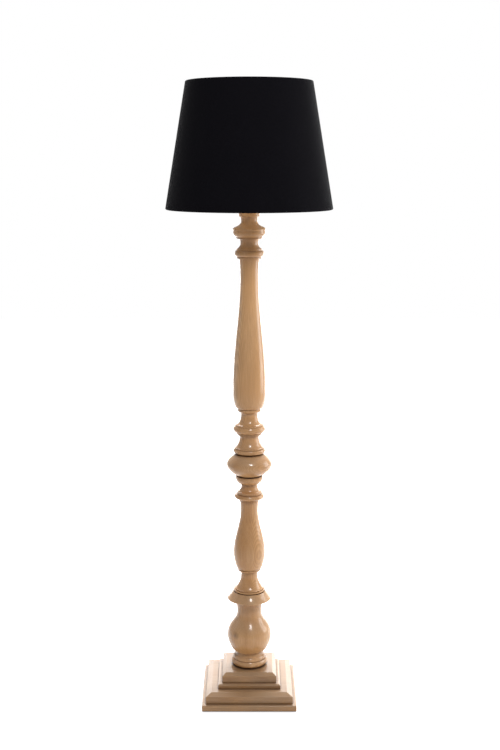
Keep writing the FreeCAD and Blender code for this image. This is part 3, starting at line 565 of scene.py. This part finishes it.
def shadeCover():
    lowArc = hemArc(lowRing, -slant, shade["reach"])
    highArc = hemArc(highRing, slant, shade["reach"])
    points = [lowArc[-1] + slant * shade["hem"]] + lowArc[::-1]
    points += rowsBetween(lowArc[0], highArc[0])[1:-1]
    points += highArc + [highArc[-1] - slant * shade["hem"]]
    cover = spun("shadeCover", points, shade["steps"])
    faceOutward(cover)

    # the hem is notched where each arm passes
    hemRadius = lowRing.x - shade["wire"]

    def isNotch(face):
        middle = face.center
        isHem = math.hypot(middle.x, middle.y) < hemRadius and middle.z < lowRing.z + 2 * shade["hem"]
        nearArm = min(abs((azimuth(middle) - a + 180) % 360 - 180) for a in shade["armAngles"])
        return isHem and nearArm < shade["armNotch"]

    pickFaces(cover, isNotch)
    bpy.ops.mesh.delete(type="FACE")
    bpy.ops.object.mode_set(mode="OBJECT")
    layFlat(cover)
    modify(cover, "SOLIDIFY", thickness=shade["clothThickness"], offset=-1)
    return dress(cover, "shade", "cloth", "shade_fabric", "shade_cover")


def strip(name, points, sweep, thickness, offset):
    # A narrow band up the back of the shade.
    start = Matrix.Rotation(math.radians(shade["seamAt"] - sweep / 2), 3, "Z")
    band = spun(name, [start @ point for point in points], shade["stripSteps"], sweep)
    faceOutward(band)
    modify(band, "SOLIDIFY", thickness=thickness, offset=offset)
    modify(band, "BEVEL", width=thickness / 3, segments=2, limit_method="ANGLE")
    return band


def shadeSeam():
    # The turned-in edge of the cloth that is glued down over the other one.
    reach = shade["reach"] + shade["gap"]
    lowArc = hemArc(lowRing, -slant, reach, shade["seamTurn"])
    highArc = hemArc(highRing, slant, reach, shade["seamTurn"])
    points = lowArc[::-1] + rowsBetween(lowArc[0], highArc[0])[1:-1] + highArc
    seam = strip("shadeSeam", points, shade["seamSweep"], shade["seamThickness"], 1)
    layFlat(seam)
    return dress(seam, "shade", "cloth", "shade_fabric")


def shadeLining():
    skin = outward * (shade["wire"] + shade["gap"] + shade["liningThickness"])
    lining = spun("shadeLining", rowsBetween(lowRing + skin, highRing + skin), shade["steps"] // 2)
    faceOutward(lining)
    modify(lining, "SOLIDIFY", thickness=shade["liningThickness"], offset=-1)
    inner = outward * (shade["wire"] + shade["gap"])
    clear = slant * (2 * shade["wire"] + shade["hem"])
    points = rowsBetween(lowRing + inner + clear, highRing + inner - clear)
    overlap = strip("liningOverlap", points, shade["overlapSweep"], shade["liningThickness"], -1)
    return dress(joined(lining, overlap), "shade", "liner", "shade_liner", "shade_lining")


cover = shadeCover()
seam = shadeSeam()
shadeLining()
print("shade")


sleeves = {
    "holderSleeve": {"node": "holder_shell", "pitch": 2.5, "depth": 0.75,
                     "foot": 2.0, "neck": 4.5, "lip": 3.5},
    "bulbSleeve": {"node": "bulb_cap", "pitch": 3.6, "depth": 0.90,
                   "foot": 1.0, "neck": 5.5, "lip": 0.9},
    "wall": 0.30,
    "toothSteps": 8,
    "steps": 72,
}


def screwedSleeve(name, body, finish, slot):
    # One rounded tooth carried up by the screw, between a plain foot and a plain neck.
    form = sleeves[name]
    low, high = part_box(form["node"])
    radius, wall = high.x, sleeves["wall"] * mm
    bottom, top = low.z + form["foot"] * mm, high.z - form["neck"] * mm
    turns = round((top - bottom) / (form["pitch"] * mm))
    pitch = (top - bottom) / turns
    root = radius - form["depth"] * mm
    tooth = []
    for i in range(sleeves["toothSteps"] + 1):
        share = i / sleeves["toothSteps"]
        swell = (1 - math.cos(2 * math.pi * share)) / 2
        tooth.append(Vector((root + (radius - root) * swell, 0, bottom + pitch * share)))
    sleeve = drawLine(name, tooth)
    bpy.ops.object.mode_set(mode="OBJECT")
    modify(sleeve, "SCREW", angle=2 * math.pi, screw_offset=pitch, iterations=turns - 1,
           steps=sleeves["steps"], render_steps=sleeves["steps"])
    bpy.ops.object.mode_set(mode="EDIT")
    weld()
    faceOutward(sleeve)
    modify(sleeve, "SOLIDIFY", thickness=wall, offset=-1)
    inner = root - wall
    mouth = radius - form["lip"] * mm
    foot = turned(name + "Foot", [(inner, low.z), (radius - wall, low.z), (radius, low.z + wall),
                                  (radius, bottom + pitch), (inner, bottom + pitch)], sleeves["steps"])
    neck = turned(name + "Neck", [(inner, top - pitch), (radius, top - pitch), (radius, high.z - 3 * wall),
                                  (radius - wall, high.z - wall), (radius - 2 * wall, high.z),
                                  (mouth, high.z), (mouth, high.z - wall), (inner, high.z - 3 * wall)],
                  sleeves["steps"])
    return dress(joined(sleeve, foot, neck), body, finish, slot, form["node"])


collars = {"bore": 0.2 * mm, "round": 1.0 * mm, "roundSteps": 4, "ribs": 60, "groove": 0.6 * mm}


def ribbedCollar(name, node, body):
    low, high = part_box(node)
    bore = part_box("holder_shell")[1].x + collars["bore"]
    radius, ease = high.x, collars["round"]
    turns = [math.radians(90) * i / collars["roundSteps"] for i in range(collars["roundSteps"] + 1)]
    outline = [(bore, low.z)]
    outline += [(radius - ease + ease * math.sin(t), low.z + ease - ease * math.cos(t)) for t in turns]
    outline += [(radius - ease + ease * math.cos(t), high.z - ease + ease * math.sin(t)) for t in turns]
    outline += [(bore, high.z)]
    collar = turned(name, outline, 2 * collars["ribs"])

    def isGroove(face):
        onRim = math.hypot(face.center.x, face.center.y) > radius - 0.1 * ease and abs(face.normal.z) < 0.1
        return onRim and int(azimuth(face.center) * collars["ribs"] / 180) % 2 == 0

    pickFaces(collar, isGroove)
    bpy.ops.mesh.inset(thickness=collars["groove"] / 3, depth=-collars["groove"], use_individual=True)
    bpy.ops.object.mode_set(mode="OBJECT")
    return dress(collar, body, "brass", "holder_brass", node)


screwedSleeve("holderSleeve", "stand", "brass", "holder_brass")
screwedSleeve("bulbSleeve", "bulb", "bulbMetal", "bulb_metal")
ribbedCollar("lowerCollar", "lower_collar", "stand")
ribbedCollar("upperCollar", "upper_collar", "clamp_collar")
print("holder and bulb")


felt = {"corner": 6 * mm, "cornerSteps": 8, "ease": 0.4 * mm}


def feltPad():
    low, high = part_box("base_felt")
    bpy.ops.object.select_all(action="DESELECT")
    bpy.ops.mesh.primitive_plane_add(size=high.x - low.x)
    pad = bpy.context.object
    pad.name = pad.data.name = "feltPad"
    bpy.ops.object.mode_set(mode="EDIT")
    bpy.ops.mesh.select_all(action="SELECT")
    bpy.ops.mesh.bevel(offset=felt["corner"], segments=felt["cornerSteps"], affect="VERTICES")
    bpy.ops.mesh.select_all(action="SELECT")
    bpy.ops.mesh.extrude_region_move(TRANSFORM_OT_translate={"value": (0, 0, high.z - low.z)})
    weld()
    modify(pad, "BEVEL", width=felt["ease"], segments=3, limit_method="ANGLE", angle_limit=math.radians(60))
    dress(pad, "stand", "felt", "felt", "base_felt")


feltPad()
print("felt pad")


stageLook = {
    "floorSize": 14.0,
    "floorColour": (0.80, 0.80, 0.80, 1.0),
    "nearLift": 0.62,
    "farLift": 1.0,
    "liftFrom": 0.35,
    "liftTo": 1.6,
    "fill": 0.10,
}


def makeFloor():
    bpy.ops.object.select_all(action="DESELECT")
    bpy.ops.mesh.primitive_plane_add(size=stageLook["floorSize"])
    floor = bpy.context.object
    floor.name = "floor"
    surface = Finish("floor", Base_Color=stageLook["floorColour"], Roughness=0.9,
                     Specular_IOR_Level=0.0, Emission_Strength=1.0)
    reach = surface.node("ShaderNodeVectorMath", {"operation": "LENGTH"}, {0: surface.place()}, "Value")
    lift = surface.node("ShaderNodeMapRange", None,
                        {"Value": reach, "From Min": stageLook["liftFrom"], "From Max": stageLook["liftTo"],
                         "To Min": stageLook["nearLift"], "To Max": stageLook["farLift"]})
    surface.feed(Emission_Color=surface.mix(surface.seen() * lift, (0.0, 0.0, 0.0), (1.0, 1.0, 1.0)))
    floor.data.materials.append(surface.material)


def makeWorld():
    world = bpy.data.worlds.new("studio")
    bpy.context.scene.world = world
    world.use_nodes = True
    studio = Graph(world.node_tree)
    background = world.node_tree.nodes["Background"]
    background.inputs["Strength"].default_value = 1.0
    fill = (stageLook["fill"],) * 3
    sky = studio.mix(studio.seen(), fill, (1.0, 1.0, 1.0))
    world.node_tree.links.new(sky.socket, background.inputs["Color"])


# frontBox is the key light. It stands high enough for the shade to darken the neck of the column.
lights = [
    {"name": "topBox", "place": (0.15, 1.5, 2.5), "aim": (0, 0, 0.3), "size": (2.0, 1.2), "power": 110},
    {"name": "frontBox", "place": (0.4, -1.9, 2.62), "aim": (0, 0, 0.7), "size": (0.45, 0.55), "power": 46},
    {"name": "rightBox", "place": (2.2, 0.4, 1.1), "aim": (0, 0, 0.7), "size": (1.2, 1.6), "power": 40},
    {"name": "leftBox", "place": (-2.2, 0.4, 1.1), "aim": (0, 0, 0.7), "size": (0.4, 1.2), "power": 3},
    {"name": "backBox", "place": (0.2, 2.6, 0.75), "aim": (0, 0, 0.4), "size": (3.0, 1.2), "power": 55},
]


def makeLight(name, place, aim, size, power):
    bpy.ops.object.select_all(action="DESELECT")
    bpy.ops.object.light_add(type="AREA", location=place)
    light = bpy.context.object
    light.name = name
    light.visible_camera = False
    light.data.shape = "RECTANGLE"
    light.data.size, light.data.size_y = size
    light.data.energy = power
    light.rotation_euler = (Vector(aim) - Vector(place)).to_track_quat("-Z", "Y").to_euler()


camera = {
    "place": (0.0018, -2.780, 1.3773),
    "tilt": 79.19,
    "lens": 54.49,
    "sensor": 36,
}


def makeCamera():
    bpy.ops.object.select_all(action="DESELECT")
    bpy.ops.object.camera_add(location=camera["place"], rotation=(math.radians(camera["tilt"]), 0, 0))
    made = bpy.context.object
    made.name = "camera"
    made.data.lens = camera["lens"]
    made.data.sensor_width = camera["sensor"]
    bpy.context.scene.camera = made


makeFloor()
makeWorld()
for light in lights:
    makeLight(**light)
makeCamera()
bpy.context.scene.view_settings.view_transform = "Standard"
print("stage, light and camera")
